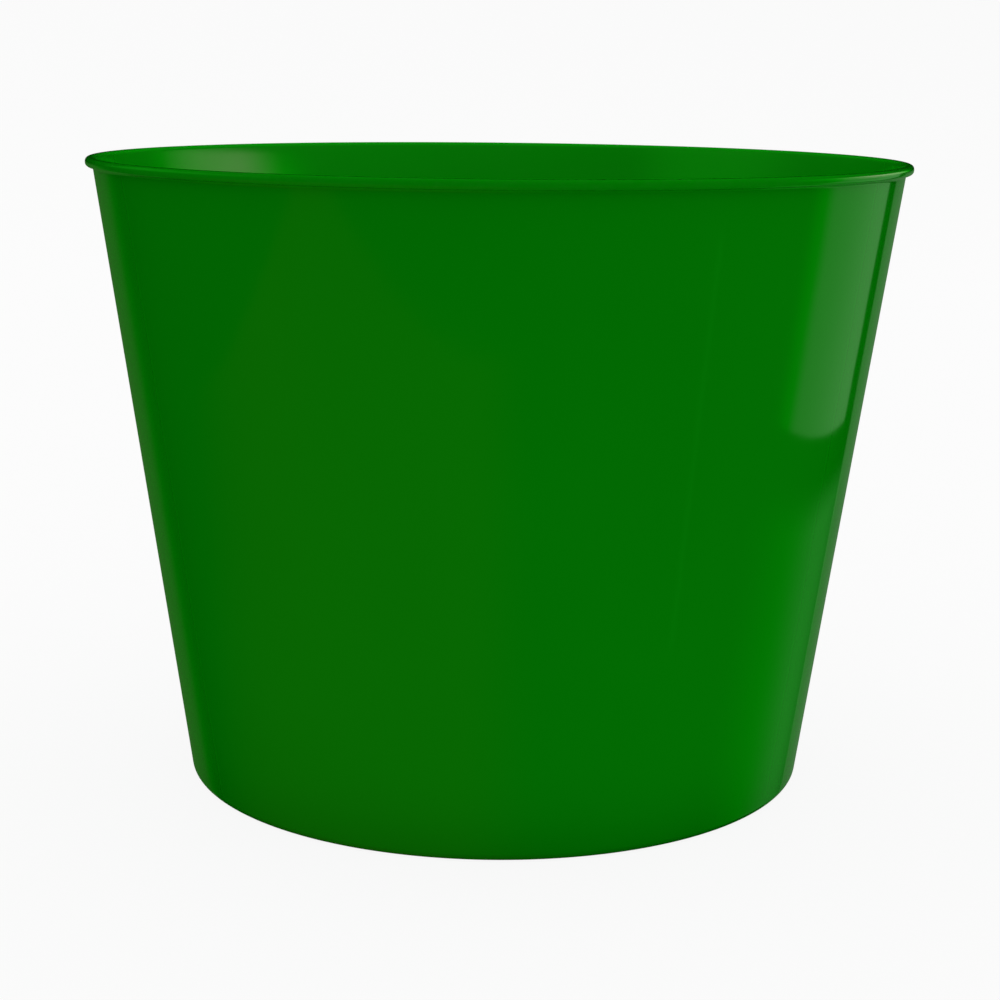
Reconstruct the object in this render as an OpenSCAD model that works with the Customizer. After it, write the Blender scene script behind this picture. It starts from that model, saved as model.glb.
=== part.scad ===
// Round florist bucket: one thin-wall plastic moulding with a tapered wall and a small rounded lip.
// It is drawn as the three regions of that moulding, which meet face to face: rim, wall and base.
// The origin is the centre of the foot, on the surface that the bucket stands on, with +Z up.

/* [Size] */
// Height from the floor to the crest of the lip
height = 191.5; // [180:0.5:205]
// Outside diameter over the lip
rim_d = 250; // [245:1:260]
// Outside diameter of the wall's straight line where it is carried down to the floor
foot_d = 192.7; // [185:0.1:195]

/* [Rim] */
// How far the lip stands out from the wall's line at the level of the crest
lip_out = 1.8; // [1.8:0.1:3]
// Height of the lip from its underside to its crest
lip_h = 2.8; // [2.6:0.1:5]
// Radius of the lip's outer nose, above and below
nose_r = 1.2; // [0.6:0.1:1.2]
// Radius of the inner edge of the mouth
mouth_r = 1.4; // [0.6:0.1:1.6]
// Radius of the hollow corner under the lip
throat_r = 0.9; // [0.3:0.1:0.9]

/* [Wall] */
// Thickness of the wall, measured square to its face
wall_t = 1.5; // [1.2:0.1:2]

/* [Base] */
// Radius of the outer corner between the wall and the foot
heel_r = 3; // [2.5:0.1:5]
// Thickness of the floor panel
floor_t = 1.8; // [1.2:0.1:2.5]
// How far the floor panel is pushed up above the foot ring
floor_lift = 2; // [1:0.1:3]
// Width of the flat band of the foot ring that touches the ground
foot_band = 3; // [2:0.5:6]
// Width of the soft step from the foot ring up to the floor panel
step_w = 6; // [5:0.5:12]
// Radius of the moulding gate's stub at the centre of the underside
gate_r = 2.5; // [1.5:0.1:4]
// Height of the gate's stub, which stays clear of the ground
gate_h = 0.6; // [0.2:0.1:0.8]

/* [Hidden] */

plastic_green = [0.02, 0.4, 0.01];
arc_steps = 12;
$fn = 180;

rim_r = rim_d / 2;
taper = (rim_r - lip_out - foot_d / 2) / height;    // how far the wall leans out for each millimetre up
lean = atan(taper);                                 // angle between the wall and the vertical
wall_run = wall_t / cos(lean);                      // thickness of the wall measured level

lip_z = height - lip_h;                             // level of the lip's underside
rim_z = lip_z - throat_r;                           // level where the wall ends and the rim begins
base_z = heel_r + floor_t;                          // level where the base ends and the wall begins

heel_in_r = heel_r - wall_t;                        // inner radius, so that the corner keeps its thickness
heel_x = outer_x(heel_r) - heel_r / cos(lean);      // centre of the outer heel arc
step_x = heel_x - foot_band;                        // outer end of the soft step

// Distance of the wall's outer and inner faces from the axis at level z
function outer_x(z) = foot_d / 2 + taper * z;
function inner_x(z) = outer_x(z) - wall_run;

// Points along an arc of radius r about [x, z], from angle a to angle b
function arc(x, z, r, a, b) =
    [for (i = [0:arc_steps]) let (t = a + (b - a) * i / arc_steps) [x + r * cos(t), z + r * sin(t)]];

// Points of the soft step, half a cosine wave from the floor panel down to the foot ring, raised by z
function soft_step(z) =
    [for (i = [0:arc_steps]) let (share = i / arc_steps)
        [step_x - step_w * (1 - share), z + floor_lift * (1 + cos(180 * share)) / 2]];

// The same points taken the other way
function reversed(points) = [for (i = [len(points) - 1:-1:0]) points[i]];

// A region of the moulding, turned about the bucket's axis
module turned(outline) {
    color(plastic_green)
        rotate_extrude()
            polygon(outline);
}

// Rim: a bead round the mouth, with a rounded nose, a rounded inner edge and a hollow corner below
module rim() {
    nose_x = rim_r - nose_r;
    mouth_z = height - mouth_r;
    mouth_x = inner_x(mouth_z) + mouth_r / cos(lean);
    throat_x = outer_x(rim_z) + throat_r / cos(lean);
    turned(concat(
        [[inner_x(rim_z), rim_z]],
        arc(mouth_x, mouth_z, mouth_r, 180 - lean, 90),
        arc(nose_x, height - nose_r, nose_r, 90, 0),
        arc(nose_x, lip_z + nose_r, nose_r, 0, -90),
        arc(throat_x, rim_z, throat_r, 90, 180 - lean),
        [[outer_x(rim_z), rim_z]]
    ));
}

// Wall: a plain cone of even thickness, from the heel up to the lip's hollow corner
module wall() {
    turned([
        [inner_x(base_z), base_z],
        [outer_x(base_z), base_z],
        [outer_x(rim_z), rim_z],
        [inner_x(rim_z), rim_z]
    ]);
}

// Base: a rounded heel, a narrow foot ring, and a floor panel pushed up inside the ring
module base() {
    heel_in_z = floor_t + heel_in_r;
    heel_in_x = inner_x(heel_in_z) - heel_in_r / cos(lean);
    turned(concat(
        [[0, floor_lift - gate_h], [gate_r, floor_lift - gate_h], [gate_r, floor_lift]],
        soft_step(0),
        arc(heel_x, heel_r, heel_r, -90, -lean),
        [[outer_x(base_z), base_z], [inner_x(base_z), base_z]],
        arc(heel_in_x, heel_in_z, heel_in_r, -lean, -90),
        reversed(soft_step(floor_t)),
        [[0, floor_lift + floor_t]]
    ));
}

rim();
wall();
base();
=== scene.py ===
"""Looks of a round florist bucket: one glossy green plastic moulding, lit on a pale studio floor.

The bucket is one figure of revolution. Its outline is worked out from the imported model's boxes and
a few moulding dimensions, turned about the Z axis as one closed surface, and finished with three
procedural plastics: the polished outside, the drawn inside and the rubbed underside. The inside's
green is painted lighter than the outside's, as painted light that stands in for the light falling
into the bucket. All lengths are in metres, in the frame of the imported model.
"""

import logging
import math
from dataclasses import dataclass, field
from enum import Enum

import bpy
import numpy as np
from mathutils import Matrix, Vector


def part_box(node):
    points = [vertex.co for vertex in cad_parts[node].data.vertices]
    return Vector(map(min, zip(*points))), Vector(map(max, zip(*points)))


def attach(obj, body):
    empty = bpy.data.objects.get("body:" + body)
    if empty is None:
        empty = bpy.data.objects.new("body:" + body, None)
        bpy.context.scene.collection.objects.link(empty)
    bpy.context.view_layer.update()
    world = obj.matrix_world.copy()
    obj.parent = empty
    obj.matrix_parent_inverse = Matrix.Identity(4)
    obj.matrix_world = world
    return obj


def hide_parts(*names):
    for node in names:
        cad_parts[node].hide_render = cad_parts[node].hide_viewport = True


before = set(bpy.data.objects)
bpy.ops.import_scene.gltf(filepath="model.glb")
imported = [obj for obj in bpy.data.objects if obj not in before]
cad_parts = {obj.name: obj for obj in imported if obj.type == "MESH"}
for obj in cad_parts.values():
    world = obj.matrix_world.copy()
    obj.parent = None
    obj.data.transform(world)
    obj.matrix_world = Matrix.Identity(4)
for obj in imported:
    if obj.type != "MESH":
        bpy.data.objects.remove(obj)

LOG = logging.getLogger("florist_bucket")
MM = 0.001
RUB = "rub"  # the mesh attribute that says how much each point is rubbed
MIDDLE = 0.5  # the middle of a noise texture's range
Colour = tuple[float, float, float]
Triple = tuple[float, float, float]


class Finish(Enum):
    """The three finishes of the moulding; each value is its material slot on the mesh."""

    OUTSIDE = 0
    INSIDE = 1
    UNDERSIDE = 2


# ---------------------------------------------------------------------------------------------
# Node helpers and shared node groups
# ---------------------------------------------------------------------------------------------


class NodeSheet:
    """A short way of adding nodes to a node tree and joining them."""

    def __init__(self, tree: bpy.types.NodeTree) -> None:
        """Starts on an empty tree.

        Args:
            tree: The node tree of a material, a world, a lamp or a group.
        """
        self.tree = tree
        tree.nodes.clear()

    def add(self, kind: str, **inputs: object) -> bpy.types.Node:
        """Adds a node and sets or links its inputs.

        Args:
            kind: The node's type, such as "ShaderNodeMath".
            **inputs: Input sockets by name, with "_" for a space, or by "i0", "i1" for its place.
                A socket is linked and any other value is set. A name that is a property of the
                node, such as operation, is set on the node.

        Returns:
            The new node.
        """
        node = self.tree.nodes.new(kind)
        for name, value in inputs.items():
            if name in node.bl_rna.properties:
                setattr(node, name, value)
                continue
            key = int(name[1:]) if name[0] == "i" and name[1:].isdigit() else name.replace("_", " ")
            socket = node.inputs[key]
            if isinstance(value, bpy.types.NodeSocket):
                self.tree.links.new(value, socket)
            else:
                socket.default_value = value
        return node

    def maths(self, operation: str, *values: object, clamp: bool = False) -> bpy.types.NodeSocket:
        """Adds a Math node.

        Args:
            operation: The node's operation, such as "MULTIPLY".
            *values: Its inputs in order, each a socket or a number.
            clamp: True to keep the result between 0 and 1.

        Returns:
            The node's result.
        """
        slots = {f"i{place}": value for place, value in enumerate(values)}
        return self.add("ShaderNodeMath", operation=operation, use_clamp=clamp, **slots).outputs[0]

    def ramp(self, value: object, low: float, high: float, to_low: float = 0.0,
             to_high: float = 1.0) -> bpy.types.NodeSocket:
        """Adds a smooth step of a value.

        Args:
            value: The value, a socket.
            low: Where the step starts.
            high: Where the step ends.
            to_low: The result at the start and before it.
            to_high: The result at the end and past it.

        Returns:
            The step's result.
        """
        node = self.add("ShaderNodeMapRange", interpolation_type="SMOOTHSTEP", i0=value, i1=low,
                        i2=high, i3=to_low, i4=to_high)
        return node.outputs[0]

    def noise(self, vector: object, scale: float, detail: float = 2.0,
              roughness: float = 0.5) -> bpy.types.NodeSocket:
        """Adds a 3-D noise texture.

        Args:
            vector: Where to read it, a socket.
            scale: Waves to the metre.
            detail: How many finer octaves it has.
            roughness: How strong each finer octave is beside the one before.

        Returns:
            The noise, from 0 to 1 about MIDDLE.
        """
        node = self.add("ShaderNodeTexNoise", Vector=vector, Scale=scale, Detail=detail,
                        Roughness=roughness)
        return node.outputs["Fac"]

    def mixed(self, share: object, first: object, second: object) -> bpy.types.NodeSocket:
        """Mixes two colours.

        Args:
            share: How much of the second colour there is, from 0 to 1.
            first: The first colour, a socket.
            second: The second colour, a socket.

        Returns:
            The mixed colour.
        """
        node = self.add("ShaderNodeMix", data_type="RGBA", i0=share, i6=first, i7=second)
        return node.outputs[2]


def new_group(name: str, inputs: dict[str, tuple[str, object]],
              outputs: dict[str, str]) -> NodeSheet:
    """Makes an empty shader node group.

    Args:
        name: The group's name.
        inputs: For each input its kind of socket, Float, Color or Vector, and its first value.
        outputs: For each output its kind of socket.

    Returns:
        A sheet to fill the group with, whose tree is the group.
    """
    tree = bpy.data.node_groups.new(name, "ShaderNodeTree")
    for label, (kind, value) in inputs.items():
        socket = tree.interface.new_socket(label, in_out="INPUT", socket_type=f"NodeSocket{kind}")
        if value is not None:
            socket.default_value = value
    for label, kind in outputs.items():
        tree.interface.new_socket(label, in_out="OUTPUT", socket_type=f"NodeSocket{kind}")
    return NodeSheet(tree)


@dataclass
class SharedEffects:
    """The node groups that every finish of the moulding uses, built once.

    Attributes:
        mottle_scale: Clouds of pigment to the metre.
        hairline_scale: Hairline scratches to the metre, across the way they run.
        hairline_width: Width of a hairline, as a step of the noise whose middle it follows.
        hairline_depth: Depth of a hairline, in millimetres.
        patch_scale: Scratched patches to the metre.
        patch_edge: Noise at which a patch begins, and at which it is fully scratched.
        pull_scale: Waves of shrinkage to the metre.
        peel_scale: Bumps of orange peel to the metre.
    """

    mottle_scale: float = 14.0
    hairline_scale: float = 420.0
    hairline_width: float = 0.012
    hairline_depth: float = 0.0015
    patch_scale: float = 60.0
    patch_edge: tuple[float, float] = (0.5, 0.66)
    pull_scale: float = 55.0
    peel_scale: float = 520.0

    def __post_init__(self) -> None:
        """Builds the groups."""
        self.pigment = self._pigment()
        self.hairlines = self._hairlines()
        self.skin = self._skin()

    def _pigment(self) -> bpy.types.NodeTree:
        """Colour of mass-dyed plastic: a slow mottle of the pigment, and paler where it is rubbed.

        Returns:
            The group, with the two colours, a vector, the mottle and the rub going in and a colour
            coming out.
        """
        sheet = new_group(
            "dyed_plastic_colour",
            {"Colour": ("Color", (0.0, 0.2, 0.0, 1.0)),
             "Rubbed Colour": ("Color", (0.1, 0.3, 0.1, 1.0)),
             "Vector": ("Vector", None), "Mottle": ("Float", 0.1), "Rub": ("Float", 0.0)},
            {"Colour": "Color"},
        )
        given = sheet.add("NodeGroupInput").outputs
        slow = sheet.noise(given["Vector"], self.mottle_scale, detail=3.0)
        drift = sheet.maths("SUBTRACT", slow, MIDDLE)
        shade = sheet.maths("MULTIPLY_ADD", drift, given["Mottle"], 1.0)
        toned = sheet.add("ShaderNodeVectorMath", operation="SCALE", i0=given["Colour"], Scale=shade)
        colour = sheet.mixed(given["Rub"], toned.outputs[0], given["Rubbed Colour"])
        sheet.add("NodeGroupOutput", Colour=colour)
        return sheet.tree

    def _hairlines(self) -> bpy.types.NodeTree:
        """Mask of fine hairline scratches: thin crests of stretched noise, in broken patches.

        Returns:
            The group, with a vector, its scale along each axis and the lines' density going in,
            and a mask from 0 to 1 coming out.
        """
        sheet = new_group(
            "hairline_scratches",
            {"Vector": ("Vector", None), "Draw": ("Vector", (1.0, 1.0, 0.05)),
             "Density": ("Float", 0.5)},
            {"Mask": "Float"},
        )
        given = sheet.add("NodeGroupInput").outputs
        drawn = sheet.add("ShaderNodeVectorMath", operation="MULTIPLY", i0=given["Vector"],
                          i1=given["Draw"]).outputs[0]
        wave = sheet.noise(drawn, self.hairline_scale)
        crest = sheet.maths("ABSOLUTE", sheet.maths("SUBTRACT", wave, MIDDLE))
        line_mask = sheet.ramp(crest, 0.0, self.hairline_width, to_low=1.0, to_high=0.0)
        patch = sheet.ramp(sheet.noise(given["Vector"], self.patch_scale), *self.patch_edge)
        broken = sheet.maths("MULTIPLY", line_mask, patch)
        sheet.add("NodeGroupOutput", Mask=sheet.maths("MULTIPLY", broken, given["Density"]))
        return sheet.tree

    def _skin(self) -> bpy.types.NodeTree:
        """Height of a moulded skin: the slow pull of shrinkage, orange peel, and hairlines cut in.

        Returns:
            The group, with a vector, the two amplitudes in millimetres and the hairline mask
            going in, and a height in metres coming out.
        """
        sheet = new_group(
            "moulded_skin",
            {"Vector": ("Vector", None), "Shrinkage": ("Float", 0.01), "Peel": ("Float", 0.001),
             "Hairlines": ("Float", 0.0)},
            {"Height": "Float"},
        )
        given = sheet.add("NodeGroupInput").outputs
        waves = sheet.noise(given["Vector"], self.pull_scale, detail=1.0)
        bumps = sheet.noise(given["Vector"], self.peel_scale)
        pull = sheet.maths("MULTIPLY", waves, given["Shrinkage"])
        peel = sheet.maths("MULTIPLY", bumps, given["Peel"])
        cut = sheet.maths("MULTIPLY", given["Hairlines"], -self.hairline_depth)
        total = sheet.maths("ADD", sheet.maths("ADD", pull, peel), cut)
        sheet.add("NodeGroupOutput", Height=sheet.maths("MULTIPLY", total, MM))
        return sheet.tree


# ---------------------------------------------------------------------------------------------
# Finishes
# ---------------------------------------------------------------------------------------------


@dataclass(frozen=True)
class DyedPlastic:
    """Glossy plastic, dyed right through.

    Attributes:
        name: The material's name.
        colour: Linear colour of the clean plastic.
        rubbed: Linear colour where it is rubbed.
        sheen_tint: Colour of a reflection seen square on, which turns white at a glancing angle.
        roughness: Roughness of the clean skin, about the middle of its haze.
        haze_scale: Patches of haze to the metre.
        haze: How far the haze changes the roughness, as a share.
        scratched_roughness: What a hairline adds to the roughness.
        rubbed_roughness: What a rub adds to the roughness.
        speckle_scale: Specks to the metre where it is rubbed.
        speckle_edge: Noise at which a speck begins, and at which it is fully rubbed.
        mottle: How far the pigment's shade wanders, as a share.
        shrinkage: Amplitude of the slow pull of shrinkage, in millimetres.
        peel: Amplitude of the orange peel, in millimetres.
        hairlines: Density of the hairline scratches, from 0 to 1.
        draw: Scale of the hairlines along X, Y and Z, small along the way they run.
        ior: Index of refraction.
    """

    name: str
    colour: Colour = (0.0005, 0.175, 0.0006)
    rubbed: Colour = (0.03, 0.21, 0.03)
    sheen_tint: Colour = (0.32, 1.0, 0.28)
    roughness: float = 0.07
    haze_scale: float = 30.0
    haze: float = 0.7
    scratched_roughness: float = 0.25
    rubbed_roughness: float = 0.42
    speckle_scale: float = 900.0
    speckle_edge: tuple[float, float] = (0.42, 0.62)
    mottle: float = 0.10
    shrinkage: float = 0.030
    peel: float = 0.0006
    hairlines: float = 0.25
    draw: Triple = (1.0, 1.0, 0.04)
    ior: float = 1.49

    def material(self, effects: SharedEffects) -> bpy.types.Material:
        """Builds the material.

        Args:
            effects: The shared node groups.

        Returns:
            The material, which reads Object coordinates and the mesh's rub attribute.
        """
        material = bpy.data.materials.new(self.name)
        material.use_nodes = True
        sheet = NodeSheet(material.node_tree)
        place = sheet.add("ShaderNodeTexCoord").outputs["Object"]
        rub_map = sheet.add("ShaderNodeAttribute", attribute_name=RUB).outputs["Fac"]
        specks = sheet.noise(place, self.speckle_scale, detail=3.0, roughness=0.7)
        rub = sheet.maths("MULTIPLY", rub_map, sheet.ramp(specks, *self.speckle_edge), clamp=True)

        lines = sheet.add("ShaderNodeGroup", node_tree=effects.hairlines, Vector=place,
                          Draw=self.draw, Density=self.hairlines).outputs["Mask"]
        colour = sheet.add("ShaderNodeGroup", node_tree=effects.pigment,
                           Colour=(*self.colour, 1.0), Rubbed_Colour=(*self.rubbed, 1.0),
                           Vector=place, Mottle=self.mottle, Rub=rub).outputs["Colour"]
        height = sheet.add("ShaderNodeGroup", node_tree=effects.skin, Vector=place,
                           Shrinkage=self.shrinkage, Peel=self.peel,
                           Hairlines=lines).outputs["Height"]
        bump = sheet.add("ShaderNodeBump", Strength=1.0, Distance=1.0, Height=height)

        haze = sheet.noise(place, self.haze_scale, detail=3.0)
        clean = sheet.maths("MULTIPLY_ADD", haze, self.roughness * self.haze,
                            self.roughness * (1.0 - self.haze / 2.0))
        scratched = sheet.maths("MULTIPLY_ADD", lines, self.scratched_roughness, clean)
        worn = sheet.maths("MULTIPLY", rub, self.rubbed_roughness)
        roughness = sheet.maths("ADD", scratched, worn, clamp=True)

        plastic = sheet.add("ShaderNodeBsdfPrincipled", Base_Color=colour, Roughness=roughness,
                            IOR=self.ior, Specular_Tint=(*self.sheen_tint, 1.0),
                            Normal=bump.outputs[0])
        sheet.add("ShaderNodeOutputMaterial", Surface=plastic.outputs[0])
        return material


@dataclass(frozen=True)
class StudioWhite:
    """Pale seamless paper, exposed for the camera so that only a faint contact shadow shows.

    Attributes:
        name: The material's name.
        paper: Share of the light on it that it gives back.
        lift: Brightness that it has by itself.
    """

    name: str
    paper: float = 0.06
    lift: float = 0.90

    def material(self) -> bpy.types.Material:
        """Builds the material.

        Returns:
            The material, a matt white added to an even glow.
        """
        material = bpy.data.materials.new(self.name)
        material.use_nodes = True
        sheet = NodeSheet(material.node_tree)
        paper = sheet.add("ShaderNodeBsdfDiffuse", Color=(self.paper, self.paper, self.paper, 1.0))
        glow = sheet.add("ShaderNodeEmission", Color=(1.0, 1.0, 1.0, 1.0), Strength=self.lift)
        both = sheet.add("ShaderNodeAddShader", i0=paper.outputs[0], i1=glow.outputs[0])
        sheet.add("ShaderNodeOutputMaterial", Surface=both.outputs[0])
        return material


# ---------------------------------------------------------------------------------------------
# Outlines and turned surfaces
# ---------------------------------------------------------------------------------------------


def arc(x: float, z: float, radius: float, start: float, end: float, steps: int) -> np.ndarray:
    """Points on a circular arc: centre plus radius times (cos t, sin t), t in even steps.

    Args:
        x: Distance of the centre from the axis.
        z: Height of the centre.
        radius: The arc's radius.
        start: First angle, in degrees.
        end: Last angle, in degrees.
        steps: How many steps to take.

    Returns:
        One row a point: distance from the axis, height.
    """
    t = np.radians(np.linspace(start, end, steps + 1))
    return np.stack((x + radius * np.cos(t), z + radius * np.sin(t)), axis=1)


def line(start: tuple[float, float], end: tuple[float, float], steps: int) -> np.ndarray:
    """Points on a straight line, in even steps.

    Args:
        start: First point.
        end: Last point.
        steps: How many steps to take.

    Returns:
        One row a point: distance from the axis, height.
    """
    return np.linspace(start, end, steps + 1)


def turned(r: np.ndarray, z: np.ndarray, t: np.ndarray) -> np.ndarray:
    """Points of a turned surface: (r cos t, r sin t, z) for every height and every turn.

    Args:
        r: Distances from the axis, one row a height, with one column or one for each turn.
        z: Heights, one row each, with one column.
        t: Angles round the axis, in radians.

    Returns:
        The points, ring by ring, one row a point.
    """
    shape = (len(z), len(t))
    grid = np.stack((r * np.cos(t), r * np.sin(t), np.broadcast_to(z, shape)), axis=2)
    return grid.reshape(-1, 3)


def full_turn(turns: int) -> np.ndarray:
    """Angles of a full turn in even steps, in radians, without the last one that is the first."""
    return np.linspace(0.0, 2.0 * math.pi, turns, endpoint=False)


@dataclass
class Outline:
    """An outline in the XZ plane, added to stretch by stretch, with a finish and a rub per point.

    Attributes:
        points: The stretches' points, each a distance from the axis and a height.
        finishes: The stretches' finishes, one value a point.
        rubs: How much the stretches are rubbed, one value a point.
        closest: Distance under which a point repeats the one before.
    """

    points: list[np.ndarray] = field(default_factory=list)
    finishes: list[np.ndarray] = field(default_factory=list)
    rubs: list[np.ndarray] = field(default_factory=list)
    closest: float = 1e-7

    def add(self, points: np.ndarray, finish: Finish, rub: float = 0.0) -> None:
        """Adds a stretch.

        Args:
            points: Distances from the axis and heights, one row a point.
            finish: The finish of the faces that start at these points.
            rub: How much the stretch is rubbed, from 0 to 1.
        """
        self.points.append(points)
        self.finishes.append(np.full(len(points), finish.value))
        self.rubs.append(np.full(len(points), rub))

    def arrays(self) -> tuple[np.ndarray, np.ndarray, np.ndarray]:
        """The whole outline as arrays, without points that repeat the one before.

        Returns:
            The points, each point's finish and each point's rub.
        """
        points = np.concatenate(self.points)
        finishes = np.concatenate(self.finishes)
        rubs = np.concatenate(self.rubs)
        steps = np.linalg.norm(np.diff(points, axis=0), axis=1)
        keep = np.concatenate(([True], steps > self.closest))
        return points[keep], finishes[keep], rubs[keep]


@dataclass(frozen=True)
class Surface:
    """A closed turned surface, ready to go into a mesh.

    Attributes:
        points: Its points, one row each.
        faces: Its faces, each a tuple of the places of its points.
        slots: Each face's material slot.
        rub: How much each point is rubbed.
        uv: The UV pair of each corner of each face.
    """

    points: np.ndarray
    faces: list[tuple[int, ...]]
    slots: np.ndarray
    rub: np.ndarray
    uv: np.ndarray


# ---------------------------------------------------------------------------------------------
# The bucket
# ---------------------------------------------------------------------------------------------


@dataclass
class Moulding:
    """The bucket's one plastic moulding.

    Attributes:
        lip_h: Height of the lip from its underside to its crest.
        nose_r: Radius of the lip's outer nose.
        mouth_r: Radius of the inner edge of the mouth.
        throat_r: Radius of the hollow corner under the lip.
        wall_t: Thickness of the wall, square to its face.
        heel_r: Radius of the outer corner at the foot.
        floor_t: Thickness of the floor panel.
        floor_lift: How far the floor panel stands above the foot ring.
        foot_band: Width of the flat band that touches the ground.
        step_w: Width of the soft step from the foot ring to the panel.
        gate_r: Radius of the gate's stub.
        gate_h: Height of the gate's stub.
        gate_edge: Radius of the stub's rounded edge and of the corner round it.
        witness: Height of the fine parting line round the lip's nose.
        witness_w: Width of that line.
        valve_r: Radius of the air valve's witness ring in the floor, inside.
        valve_w: Half the width of that ring.
        valve_d: Depth of that ring.
        oval: How far the mouth is out of round.
        oval_turn: Phase of the oval, in radians; the mouth is widest at minus half of it.
        ripple: Depth of the wall's slow ripple.
        ripple_lobes: How many lobes the ripple has round the bucket.
        ripple_turn: Phase of the ripple, in radians.
        lip_rub: How much the lip is rubbed.
        foot_rub: How much the foot ring is rubbed.
        turns: Faces round the bucket.
        wall_steps: Faces up the wall.
        arc_steps: Faces along a rounded edge or the soft step.
        throat_steps: Faces along the hollow corner under the lip.
        inner_heel_steps: Faces along the inner corner at the foot.
        small_steps: Faces along each short stretch of the stub and the foot ring.
        panel_steps: Faces along the floor panel.
        middle_steps: Faces from the valve's ring to the middle of the floor.
    """

    lip_h: float = 2.8 * MM
    nose_r: float = 1.2 * MM
    mouth_r: float = 1.4 * MM
    throat_r: float = 0.9 * MM
    wall_t: float = 1.5 * MM
    heel_r: float = 3.0 * MM
    floor_t: float = 1.8 * MM
    floor_lift: float = 2.0 * MM
    foot_band: float = 3.0 * MM
    step_w: float = 6.0 * MM
    gate_r: float = 2.5 * MM
    gate_h: float = 0.6 * MM
    gate_edge: float = 0.3 * MM
    witness: float = 0.04 * MM
    witness_w: float = 0.24 * MM
    valve_r: float = 16.0 * MM
    valve_w: float = 0.25 * MM
    valve_d: float = 0.12 * MM
    oval: float = 0.12 * MM
    oval_turn: float = 0.6
    ripple: float = 0.02 * MM
    ripple_lobes: float = 7.0
    ripple_turn: float = 1.9
    lip_rub: float = 0.04
    foot_rub: float = 1.0
    turns: int = 360
    wall_steps: int = 32
    arc_steps: int = 16
    throat_steps: int = 12
    inner_heel_steps: int = 10
    small_steps: int = 4
    panel_steps: int = 14
    middle_steps: int = 6

    def __post_init__(self) -> None:
        """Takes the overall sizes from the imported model's boxes."""
        _, rim_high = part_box("rim")
        wall_low, wall_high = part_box("wall")
        _, base_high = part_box("base")
        self.rim_r = rim_high[0]
        self.height = rim_high[2]
        self.rim_z = wall_high[2]
        self.base_z = wall_low[2]
        self.taper = (wall_high[0] - base_high[0]) / (self.rim_z - self.base_z)
        self.foot_r = wall_high[0] - self.taper * self.rim_z
        self.lean = math.atan(self.taper)
        self.lean_deg = math.degrees(self.lean)
        self.wall_run = self.wall_t / math.cos(self.lean)
        self.heel_x = self.outer_x(self.heel_r) - self.heel_r / math.cos(self.lean)
        self.step_x = self.heel_x - self.foot_band

    def outer_x(self, z: float) -> float:
        """Distance of the wall's outer face from the axis at height z."""
        return self.foot_r + self.taper * z

    def inner_x(self, z: float) -> float:
        """Distance of the wall's inner face from the axis at height z."""
        return self.outer_x(z) - self.wall_run

    def soft_step(self, z: float, outward: bool) -> np.ndarray:
        """Points of the step in the floor, which falls from panel to ring as half a cosine wave.

        Args:
            z: Height of the ring's surface.
            outward: True from the panel to the ring, False the other way.

        Returns:
            One row a point: distance from the axis, height.
        """
        share = np.linspace(0.0, 1.0, self.arc_steps + 1)
        if not outward:
            share = share[::-1]
        x = self.step_x - self.step_w * (1.0 - share)
        return np.stack((x, z + self.floor_lift * (1.0 + np.cos(math.pi * share)) / 2.0), axis=1)

    def outline(self) -> Outline:
        """The closed outline, from the middle of the underside, out, up, over the lip and back in.

        Returns:
            The outline, whose first and last points are on the axis.
        """
        out = Outline()
        low, high = self.base_z, self.rim_z
        outer_face = (self.outer_x(low), low), (self.outer_x(high), high)
        inner_face = (self.inner_x(high), high), (self.inner_x(low), low)
        self._add_underside(out)
        out.add(arc(self.heel_x, self.heel_r, self.heel_r, -90.0, -self.lean_deg, self.arc_steps),
                Finish.OUTSIDE)
        out.add(line(*outer_face, self.wall_steps), Finish.OUTSIDE)
        self._add_lip(out)
        out.add(line(*inner_face, self.wall_steps), Finish.INSIDE)
        self._add_floor(out)
        return out

    def _add_underside(self, out: Outline) -> None:
        """Adds the gate's stub, the raised panel, the soft step and the foot ring's flat band.

        Args:
            out: The outline so far, which is empty.
        """
        lift, edge = self.floor_lift, self.gate_edge
        low = lift - self.gate_h
        stub_x, corner_x = self.gate_r - edge, self.gate_r + edge
        panel = (corner_x, lift), (self.step_x - self.step_w, lift)
        band = (self.step_x, 0.0), (self.heel_x, 0.0)
        few = self.small_steps
        out.add(line((0.0, low), (stub_x, low), few), Finish.UNDERSIDE)
        out.add(arc(stub_x, low + edge, edge, -90.0, 0.0, few), Finish.UNDERSIDE)
        out.add(arc(corner_x, lift - edge, edge, 180.0, 90.0, few), Finish.UNDERSIDE)
        out.add(line(*panel, self.panel_steps), Finish.UNDERSIDE)
        out.add(self.soft_step(0.0, outward=True), Finish.UNDERSIDE)
        out.add(line(*band, few), Finish.UNDERSIDE, self.foot_rub)

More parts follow.
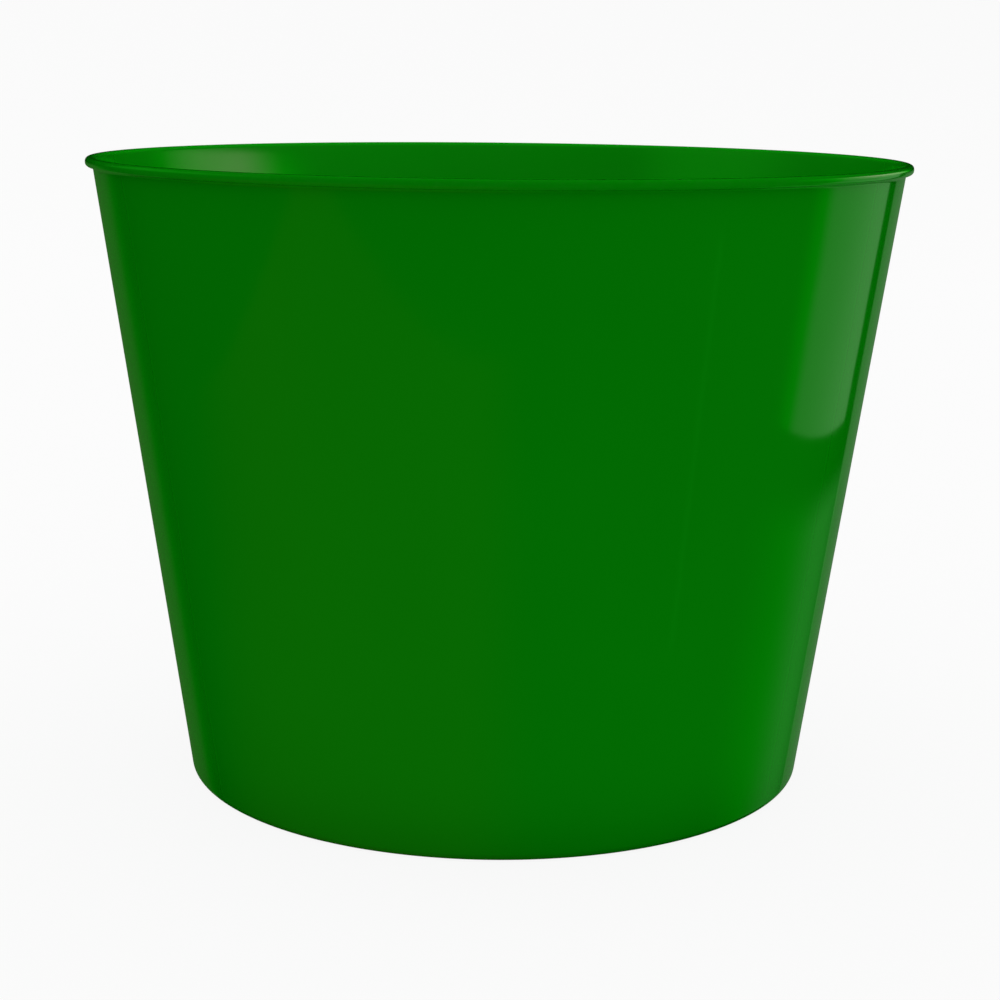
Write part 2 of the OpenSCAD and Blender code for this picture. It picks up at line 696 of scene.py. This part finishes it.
    def _add_lip(self, out: Outline) -> None:
        """Adds the hollow corner, the nose with its parting line, the crest and the mouth's edge.

        Args:
            out: The outline so far, up to the top of the wall's outer face.
        """
        lip_z = self.height - self.lip_h
        nose_x = self.rim_r - self.nose_r
        throat_x = self.outer_x(self.rim_z) + self.throat_r / math.cos(self.lean)
        mouth_z = self.height - self.mouth_r
        mouth_x = self.inner_x(mouth_z) + self.mouth_r / math.cos(self.lean)
        middle = (lip_z + self.height) / 2.0
        witness = ((self.rim_r, middle - self.witness_w / 2.0), (self.rim_r + self.witness, middle),
                   (self.rim_r, middle + self.witness_w / 2.0))
        upright = 180.0 - self.lean_deg
        out.add(arc(throat_x, self.rim_z, self.throat_r, upright, 90.0, self.throat_steps),
                Finish.OUTSIDE)
        out.add(arc(nose_x, lip_z + self.nose_r, self.nose_r, -90.0, 0.0, self.arc_steps),
                Finish.OUTSIDE, self.lip_rub)
        out.add(np.array(witness), Finish.OUTSIDE, self.lip_rub)
        out.add(arc(nose_x, self.height - self.nose_r, self.nose_r, 0.0, 90.0, self.arc_steps),
                Finish.OUTSIDE, self.lip_rub)
        out.add(arc(mouth_x, mouth_z, self.mouth_r, 90.0, upright, self.arc_steps),
                Finish.INSIDE, self.lip_rub)

    def _add_floor(self, out: Outline) -> None:
        """Adds the inner heel, the gutter, the soft step, the panel and the valve's witness ring.

        Args:
            out: The outline so far, down to the foot of the wall's inner face.
        """
        inner_r = self.heel_r - self.wall_t
        inner_z = self.floor_t + inner_r
        inner_x = self.inner_x(inner_z) - inner_r / math.cos(self.lean)
        top = self.floor_lift + self.floor_t
        ring_in, ring_out = self.valve_r - self.valve_w, self.valve_r + self.valve_w
        panel = (self.step_x - self.step_w, top), (ring_out, top)
        groove = (self.valve_r, top - self.valve_d), (ring_in, top)
        out.add(arc(inner_x, inner_z, inner_r, -self.lean_deg, -90.0, self.inner_heel_steps),
                Finish.INSIDE)
        out.add(self.soft_step(self.floor_t, outward=False), Finish.INSIDE)
        out.add(line(*panel, self.panel_steps), Finish.INSIDE)
        out.add(line(*groove, 1), Finish.INSIDE)
        out.add(line((ring_in, top), (0.0, top), self.middle_steps), Finish.INSIDE)

    def surface(self) -> Surface:
        """Turns the outline about the Z axis.

        Returns:
            The closed surface, with a UV map that runs round it and along its outline.
        """
        outline, finishes, rubs = self.outline().arrays()
        turns = self.turns
        slots = np.concatenate((np.full(turns, finishes[0]), np.repeat(finishes[1:-2], turns),
                                np.full(turns, finishes[-1])))
        rub = np.concatenate((np.repeat(rubs[1:-1], turns), [rubs[0], rubs[-1]]))
        faces = self._faces(len(outline) - 2)
        return Surface(self._points(outline), faces, slots, rub, self._uv(outline))

    def _points(self, outline: np.ndarray) -> np.ndarray:
        """Points of the turned surface.

        The point at turn t and outline place s stands at (r cos t, r sin t, z). r is the outline's
        distance from the axis plus two slow waves round the bucket, one of two lobes that makes
        the mouth a little oval and one of a few more that ripples the wall, each growing with
        the square of the height so that the foot stays true.

        Args:
            outline: The outline's points, one row each, with its two ends on the axis.

        Returns:
            The points ring by ring, then the two ends, one row a point.
        """
        ring, poles = outline[1:-1], outline[[0, -1]]
        t = full_turn(self.turns)
        rise = (ring[:, 1:2] / self.height) ** 2
        wave = rise * (self.oval * np.cos(2.0 * t + self.oval_turn)
                       + self.ripple * np.cos(self.ripple_lobes * t + self.ripple_turn))
        r = ring[:, 0:1] + wave * np.clip(ring[:, 0:1] / self.foot_r, 0.0, 1.0)
        ends = np.stack((np.zeros(2), np.zeros(2), poles[:, 1]), axis=1)
        return np.concatenate((turned(r, ring[:, 1:2], t), ends))

    def _faces(self, rows: int) -> list[tuple[int, ...]]:
        """Faces of the turned surface, which look outward, with a fan at each end of the outline.

        Args:
            rows: How many rings of points there are between the two ends.

        Returns:
            The first fan, the rows of faces between rings and the last fan, each face a tuple of
            the places of its points.
        """
        turns = self.turns
        here = np.arange(turns)
        after = (here + 1) % turns
        row = (np.arange(rows - 1) * turns)[:, None]
        quads = np.stack((row + here, row + after, row + turns + after, row + turns + here), axis=2)
        first, last, top = rows * turns, rows * turns + 1, (rows - 1) * turns
        low_fan = np.stack((np.full(turns, first), after, here), axis=1)
        high_fan = np.stack((np.full(turns, last), top + here, top + after), axis=1)
        return [*map(tuple, low_fan.tolist()), *map(tuple, quads.reshape(-1, 4).tolist()),
                *map(tuple, high_fan.tolist())]

    def _uv(self, outline: np.ndarray) -> np.ndarray:
        """UV pairs of the turned surface: the share of a turn, and the length along the outline.

        Args:
            outline: The outline's points, one row each, with its two ends on the axis.

        Returns:
            One row a corner of a face: the first fan, the rows of faces between rings, the last fan.
        """
        rows, turns = len(outline) - 2, self.turns
        along = np.concatenate(([0.0], np.cumsum(np.linalg.norm(np.diff(outline, axis=0), axis=1))))
        u0 = np.arange(turns) / turns
        u1 = (np.arange(turns) + 1) / turns
        middle = (u0 + u1) / 2
        low = np.stack((np.stack((middle, u1, u0), axis=1),
                        np.tile((along[0], along[1], along[1]), (turns, 1))), axis=2)
        v0 = np.repeat(along[1:-2], turns).reshape(rows - 1, turns)
        v1 = np.repeat(along[2:-1], turns).reshape(rows - 1, turns)
        quad_u = np.broadcast_to(np.stack((u0, u1, u1, u0), axis=1), (rows - 1, turns, 4))
        quads = np.stack((quad_u, np.stack((v0, v0, v1, v1), axis=2)), axis=3)
        high = np.stack((np.stack((middle, u0, u1), axis=1),
                         np.tile((along[-1], along[-2], along[-2]), (turns, 1))), axis=2)
        return np.concatenate((low.reshape(-1, 2), quads.reshape(-1, 2), high.reshape(-1, 2)))

    def build(self, effects: SharedEffects) -> bpy.types.Object:
        """Makes the bucket's mesh and dresses it.

        Args:
            effects: The shared node groups.

        Returns:
            The bucket, which stands for the rim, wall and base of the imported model.
        """
        shell = self.surface()
        mesh = bpy.data.meshes.new("bucket")
        mesh.from_pydata(shell.points.tolist(), [], shell.faces)
        mesh.polygons.foreach_set("material_index", shell.slots.astype(np.int32))
        mesh.polygons.foreach_set("use_smooth", np.ones(len(shell.faces), dtype=bool))
        rub = mesh.attributes.new(RUB, "FLOAT", "POINT")
        rub.data.foreach_set("value", shell.rub.astype(np.float32))
        around = mesh.uv_layers.new(name="around")
        around.uv.foreach_set("vector", shell.uv.astype(np.float32).ravel())
        mesh.update()
        for finish in self.finishes():
            mesh.materials.append(finish.material(effects))
        bucket = bpy.data.objects.new("bucket", mesh)
        bpy.context.scene.collection.objects.link(bucket)
        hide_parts("rim", "wall", "base")
        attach(bucket, "root")
        return bucket

    @staticmethod
    def finishes() -> tuple[DyedPlastic, DyedPlastic, DyedPlastic]:
        """The finishes of the moulding.

        Returns:
            The outside, the inside and the underside, in the order of Finish.
        """
        return (
            DyedPlastic("plastic_outside"),
            # The inside's green is painted lighter than the outside's: painted light that stands in
            # for the light falling into the bucket.
            DyedPlastic("plastic_inside_painted_light", colour=(0.0007, 0.262, 0.0008),
                        sheen_tint=(0.70, 1.0, 0.62), roughness=0.10, hairlines=0.4, peel=0.0010),
            DyedPlastic("plastic_underside", roughness=0.30, hairlines=0.5, peel=0.004,
                        draw=(1.0, 0.05, 1.0)),
        )


# ---------------------------------------------------------------------------------------------
# Studio
# ---------------------------------------------------------------------------------------------


@dataclass(frozen=True)
class Fade:
    """A soft edge of a lamp's face: a smooth step from dark to full along one axis of the world.

    Attributes:
        axis: The axis, 0, 1 or 2 for X, Y or Z.
        dark: Where along it the face is dark.
        full: Where along it the face is at full brightness.
        fringe: How much further in its red and blue start, which leaves a green fringe.
    """

    axis: int
    dark: float
    full: float
    fringe: float = 0.0


@dataclass(frozen=True)
class Softbox:
    """A rectangular lamp with an even, soft face, which shows in reflections only.

    Attributes:
        name: The lamp's name.
        centre: The middle of its face.
        aim: The direction that it shines in.
        size: Width and height; where it shines level, its height runs along the world's Z.
        radiance: Brightness of its face.
        colour: Its colour.
        fades: Its soft edges.
    """

    name: str
    centre: Triple
    aim: Triple
    size: tuple[float, float]
    radiance: float
    colour: Colour
    fades: tuple[Fade, ...] = ()

    def build(self) -> bpy.types.Object:
        """Makes the lamp.

        Returns:
            The lamp's object.
        """
        data = bpy.data.lights.new(self.name, "AREA")
        data.shape = "RECTANGLE"
        data.size, data.size_y = self.size
        data.energy = self.radiance * math.pi * self.size[0] * self.size[1]
        data.color = self.colour
        if self.fades:
            self._shade(data)
        lamp = bpy.data.objects.new(self.name, data)
        lamp.location = self.centre
        lamp.rotation_mode = "QUATERNION"
        lamp.rotation_quaternion = Vector(self.aim).to_track_quat("-Z", "Y")
        lamp.visible_camera = lamp.visible_diffuse = False
        bpy.context.scene.collection.objects.link(lamp)
        return lamp

    def _shade(self, data: bpy.types.Light) -> None:
        """Gives the lamp's face its soft edges: a smooth step for each, multiplied together.

        Args:
            data: The lamp.
        """
        data.use_nodes = True
        sheet = NodeSheet(data.node_tree)
        place = sheet.add("ShaderNodeNewGeometry").outputs["Position"]
        axes = sheet.add("ShaderNodeSeparateXYZ", i0=place).outputs
        red_blue, green = (self._mask(sheet, axes, fringed) for fringed in (True, False))
        colour = sheet.add("ShaderNodeCombineColor", Red=red_blue, Green=green, Blue=red_blue)
        glow = sheet.add("ShaderNodeEmission", Color=colour.outputs[0])
        sheet.add("ShaderNodeOutputLight", Surface=glow.outputs[0])

    def _mask(self, sheet: NodeSheet, axes: bpy.types.NodeOutputs,
              fringed: bool) -> bpy.types.NodeSocket | float:
        """Multiplies the steps of the soft edges.

        Args:
            sheet: The lamp's nodes.
            axes: The three coordinates of a place on the face.
            fringed: True to start each step further in, by its fringe.

        Returns:
            The mask, from 0 in the dark to 1 at full brightness.
        """
        mask: object = 1.0
        for fade in self.fades:
            shift = math.copysign(fade.fringe, fade.full - fade.dark) if fringed else 0.0
            step = sheet.ramp(axes[fade.axis], fade.dark + shift, fade.full + shift)
            mask = sheet.maths("MULTIPLY", mask, step)
        return mask


@dataclass(frozen=True)
class StudioCamera:
    """The camera: a fairly long lens a little above the rim, rolled by half a degree.

    Attributes:
        lens: Focal length, in millimetres.
        sensor: Width of the sensor, in millimetres.
        distance: Distance from the middle of the bucket.
        rise: Angle above the middle of the bucket, in degrees.
        turn: Angle that it looks to the right of straight ahead, in degrees.
        tilt: Angle that it looks down, in degrees.
        roll: Angle that it is rolled by, in degrees.
        near: Nearest distance that it sees.
        far: Farthest distance that it sees.
    """

    lens: float = 76.96
    sensor: float = 36.0
    distance: float = 0.6754
    rise: float = 10.626
    turn: float = 0.104
    tilt: float = 11.587
    roll: float = 0.600
    near: float = 0.01
    far: float = 20.0

    def build(self) -> bpy.types.Object:
        """Makes the camera.

        Returns:
            The camera, set as the scene's own.
        """
        rise, turn, tilt, roll = map(math.radians, (self.rise, self.turn, self.tilt, self.roll))
        middle = (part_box("rim")[1][2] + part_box("base")[0][2]) / 2.0
        forward = Vector((math.sin(turn) * math.cos(tilt), math.cos(turn) * math.cos(tilt),
                          -math.sin(tilt)))
        right = Vector((math.cos(turn), -math.sin(turn), 0.0))
        up = right.cross(forward)
        x_axis = right * math.cos(roll) + up * math.sin(roll)
        y_axis = up * math.cos(roll) - right * math.sin(roll)
        data = bpy.data.cameras.new("camera")
        data.sensor_width = self.sensor
        data.lens = self.lens
        data.clip_start, data.clip_end = self.near, self.far
        camera = bpy.data.objects.new("camera", data)
        facing = Matrix((x_axis, y_axis, -forward)).transposed()
        back, above = self.distance * math.cos(rise), self.distance * math.sin(rise)
        place = Vector((0.0, -back, middle + above))
        camera.matrix_world = Matrix.Translation(place) @ facing.to_4x4()
        bpy.context.scene.collection.objects.link(camera)
        bpy.context.scene.camera = camera
        return camera


@dataclass(frozen=True)
class Studio:
    """The pale floor and backdrop, the soft light and the camera.

    Attributes:
        floor_r: Radius of the floor, up to the backdrop.
        cove_r: Radius of the cove between floor and backdrop.
        wall_h: Height of the backdrop.
        middle_r: Radius of the fan in the middle of the floor.
        flat_steps: Faces along the flat floor.
        cove_steps: Faces along the cove.
        turns: Faces round the floor and backdrop.
        shade_r: Radius of the painted shade round the foot: a dark disc that stands in for the
            shaded floor.
        shade_z: Height of that disc, just under the ground.
        shade: Brightness of that disc.
        shade_turns: Sides of that disc.
        sky: The broad lights of the sky, each an axis and a brightness.
    """

    floor_r: float = 2.2
    cove_r: float = 0.6
    wall_h: float = 2.6
    middle_r: float = 0.05
    flat_steps: int = 12
    cove_steps: int = 16
    turns: int = 128
    shade_r: float = 0.112
    shade_z: float = -0.2 * MM
    shade: float = 0.35
    shade_turns: int = 96
    sky: tuple[tuple[Triple, float], ...] = (
        ((0.0, 0.0, 1.0), 1.66),
        ((1.0, 0.0, 0.0), 0.62),
        ((-1.0, 0.0, 0.0), 0.21),
        ((0.0, 1.0, 0.0), 0.70),
        ((0.0, -0.8, -0.6), 0.63),
        ((0.8, 0.0, -0.6), 0.44),
        ((-0.8, 0.0, -0.6), 0.38),
    )

    def build_cove(self) -> bpy.types.Object:
        """Makes the floor and backdrop as one bowl: a flat disc, a quarter-round cove and a wall.

        The outline is a straight line out to the cove, an arc of a quarter turn and a straight
        line up. It is turned about the Z axis, with the faces looking in.

        Returns:
            The bowl, seen by the camera only.
        """
        flat = self.floor_r - self.cove_r
        outline = np.concatenate((
            line((self.middle_r, 0.0), (flat, 0.0), self.flat_steps),
            arc(flat, self.cove_r, self.cove_r, -90.0, 0.0, self.cove_steps),
            line((self.floor_r, self.cove_r), (self.floor_r, self.wall_h), 2)[1:],
        ))
        turns = self.turns
        bowl = turned(outline[:, :1], outline[:, 1:], full_turn(turns))
        points = np.concatenate((bowl, np.zeros((1, 3))))
        here = np.arange(turns)
        after = (here + 1) % turns
        row = (np.arange(len(outline) - 1) * turns)[:, None]
        quads = np.stack((row + here, row + turns + here, row + turns + after, row + after), axis=2)
        fan = np.stack((np.full(turns, len(points) - 1), here, after), axis=1)
        mesh = bpy.data.meshes.new("studio_floor")
        mesh.from_pydata(points.tolist(), [], [*quads.reshape(-1, 4).tolist(), *fan.tolist()])
        mesh.polygons.foreach_set("use_smooth", np.ones(len(mesh.polygons), dtype=bool))
        mesh.materials.append(StudioWhite("studio_white").material())
        floor = bpy.data.objects.new("studio_floor", mesh)
        bpy.context.scene.collection.objects.link(floor)
        floor.visible_diffuse = floor.visible_glossy = floor.visible_shadow = False
        return floor

    def build_contact_shade(self) -> bpy.types.Object:
        """Makes a dark disc round the foot that stands in for the shaded floor there: painted shade,
        which only matt shading sees and which darkens the foot.

        Returns:
            The disc, a flat regular polygon just under the floor.
        """
        edge = np.array([[self.shade_r, self.shade_z]])
        points = turned(edge[:, :1], edge[:, 1:], full_turn(self.shade_turns))
        mesh = bpy.data.meshes.new("studio_contact_shade")
        mesh.from_pydata(points.tolist(), [], [tuple(range(self.shade_turns))])
        # Painted shade: the disc glows dimly by itself, darker than the sky below it, so it shades
        # the foot as the shadowed floor would.
        mesh.materials.append(StudioWhite("studio_shade", paper=0.0, lift=self.shade).material())
        disc = bpy.data.objects.new("studio_contact_shade", mesh)
        bpy.context.scene.collection.objects.link(disc)
        disc.visible_camera = disc.visible_glossy = False
        return disc

    def build_sky(self) -> bpy.types.World:
        """Makes the soft all-round light, which acts on matt shading only.

        Its brightness in a direction is the sum of a few broad lights, each as bright as the cosine
        of the angle from its own axis and dark beyond a right angle.

        Returns:
            The world, set as the scene's own.
        """
        world = bpy.data.worlds.new("studio_sky")
        bpy.context.scene.world = world
        world.use_nodes = True
        sheet = NodeSheet(world.node_tree)
        ray = sheet.add("ShaderNodeTexCoord").outputs["Generated"]
        total: object = 0.0
        for axis, strength in self.sky:
            toward = sheet.add("ShaderNodeVectorMath", operation="DOT_PRODUCT", i0=ray, i1=axis)
            share = sheet.maths("MAXIMUM", toward.outputs["Value"], 0.0)
            total = sheet.maths("MULTIPLY_ADD", share, strength, total)
        sky = sheet.add("ShaderNodeBackground", Strength=total)
        sheet.add("ShaderNodeOutputWorld", Surface=sky.outputs[0])
        seen = world.cycles_visibility
        seen.camera = seen.glossy = False
        return world

    @staticmethod
    def softboxes() -> tuple[Softbox, ...]:
        """The lamps that show in the gloss.

        Returns:
            A tall box at the right in three parts, a box high at the left, two dim cards behind, a
            card low at the left and a narrow strip at the right.
        """
        leftward, rightward = (-1.0, 0.0, 0.0), (1.0, 0.0, 0.0)
        forward, upward = (0.0, -1.0, 0.0), (0.0, 0.0, 1.0)
        return (
            Softbox("box_right", (0.357, 0.074, 0.1125), leftward, (0.328, 0.175), 0.55,
                    (0.53, 1.0, 0.51), (Fade(1, -0.067, -0.030, 0.035), Fade(1, 0.50, 0.10))),
            Softbox("box_right_top", (0.357, 0.190, 0.2425), leftward, (0.72, 0.085), 1.50,
                    (1.50, 1.0, 1.10), (Fade(1, -0.17, -0.03, 0.12), Fade(1, 0.53, 0.10, 0.14),
                                        Fade(2, 0.284, 0.262))),
            Softbox("box_right_in_floor", (0.357, 0.120, -0.114), leftward, (0.46, 0.252), 0.33,
                    (0.22, 1.0, 0.24), (Fade(1, -0.11, 0.05, 0.12), Fade(1, 0.45, 0.15),
                                        Fade(2, 0.004, -0.024))),
            Softbox("box_left_top", (-0.357, -0.05, 0.30), rightward, (0.60, 0.20), 0.80,
                    (0.05, 1.0, 0.05), (Fade(1, -0.35, -0.10), Fade(1, 0.25, 0.0),
                                        Fade(2, 0.20, 0.26))),
            Softbox("card_back_right", (0.33, 0.60, -0.14), forward, (0.42, 0.62), 0.19,
                    (0.50, 1.0, 0.47)),
            Softbox("card_back_left", (-0.485, 0.60, -0.14), forward, (0.73, 0.62), 0.12,
                    (0.30, 1.0, 0.20), (Fade(0, -0.85, -0.65, 0.12),)),
            Softbox("card_under_left", (-0.80, -0.40, -0.50), upward, (2.4, 2.4), 0.13,
                    (1.0, 0.30, 0.05), (Fade(0, 0.30, -0.20), Fade(1, 0.60, -0.90))),
            Softbox("strip_right", (0.510, -0.320, -0.100), (-0.896, 0.445, 0.0), (0.012, 0.24),
                    0.22, (0.15, 1.0, 0.20)),
        )

    def build(self) -> None:
        """Makes the whole studio and reports each part of it."""
        scene = bpy.context.scene
        scene.view_settings.view_transform = "Standard"
        scene.cycles.use_denoising = True
        parts = [StudioCamera().build(), self.build_cove(), self.build_contact_shade(), self.build_sky()]
        parts += [softbox.build() for softbox in self.softboxes()]
        for part in parts:
            LOG.info("studio: %s", part.name)


# ---------------------------------------------------------------------------------------------
# The order that things are built in
# ---------------------------------------------------------------------------------------------


def main() -> None:
    """Builds the studio and the bucket."""
    logging.basicConfig(level=logging.INFO, format="%(name)s: %(message)s")
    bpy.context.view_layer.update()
    Studio().build()
    bucket = Moulding().build(SharedEffects())
    LOG.info("piece: %s, %d faces, %d finishes", bucket.name, len(bucket.data.polygons),
             len(bucket.data.materials))


if __name__ == "__main__":
    main()
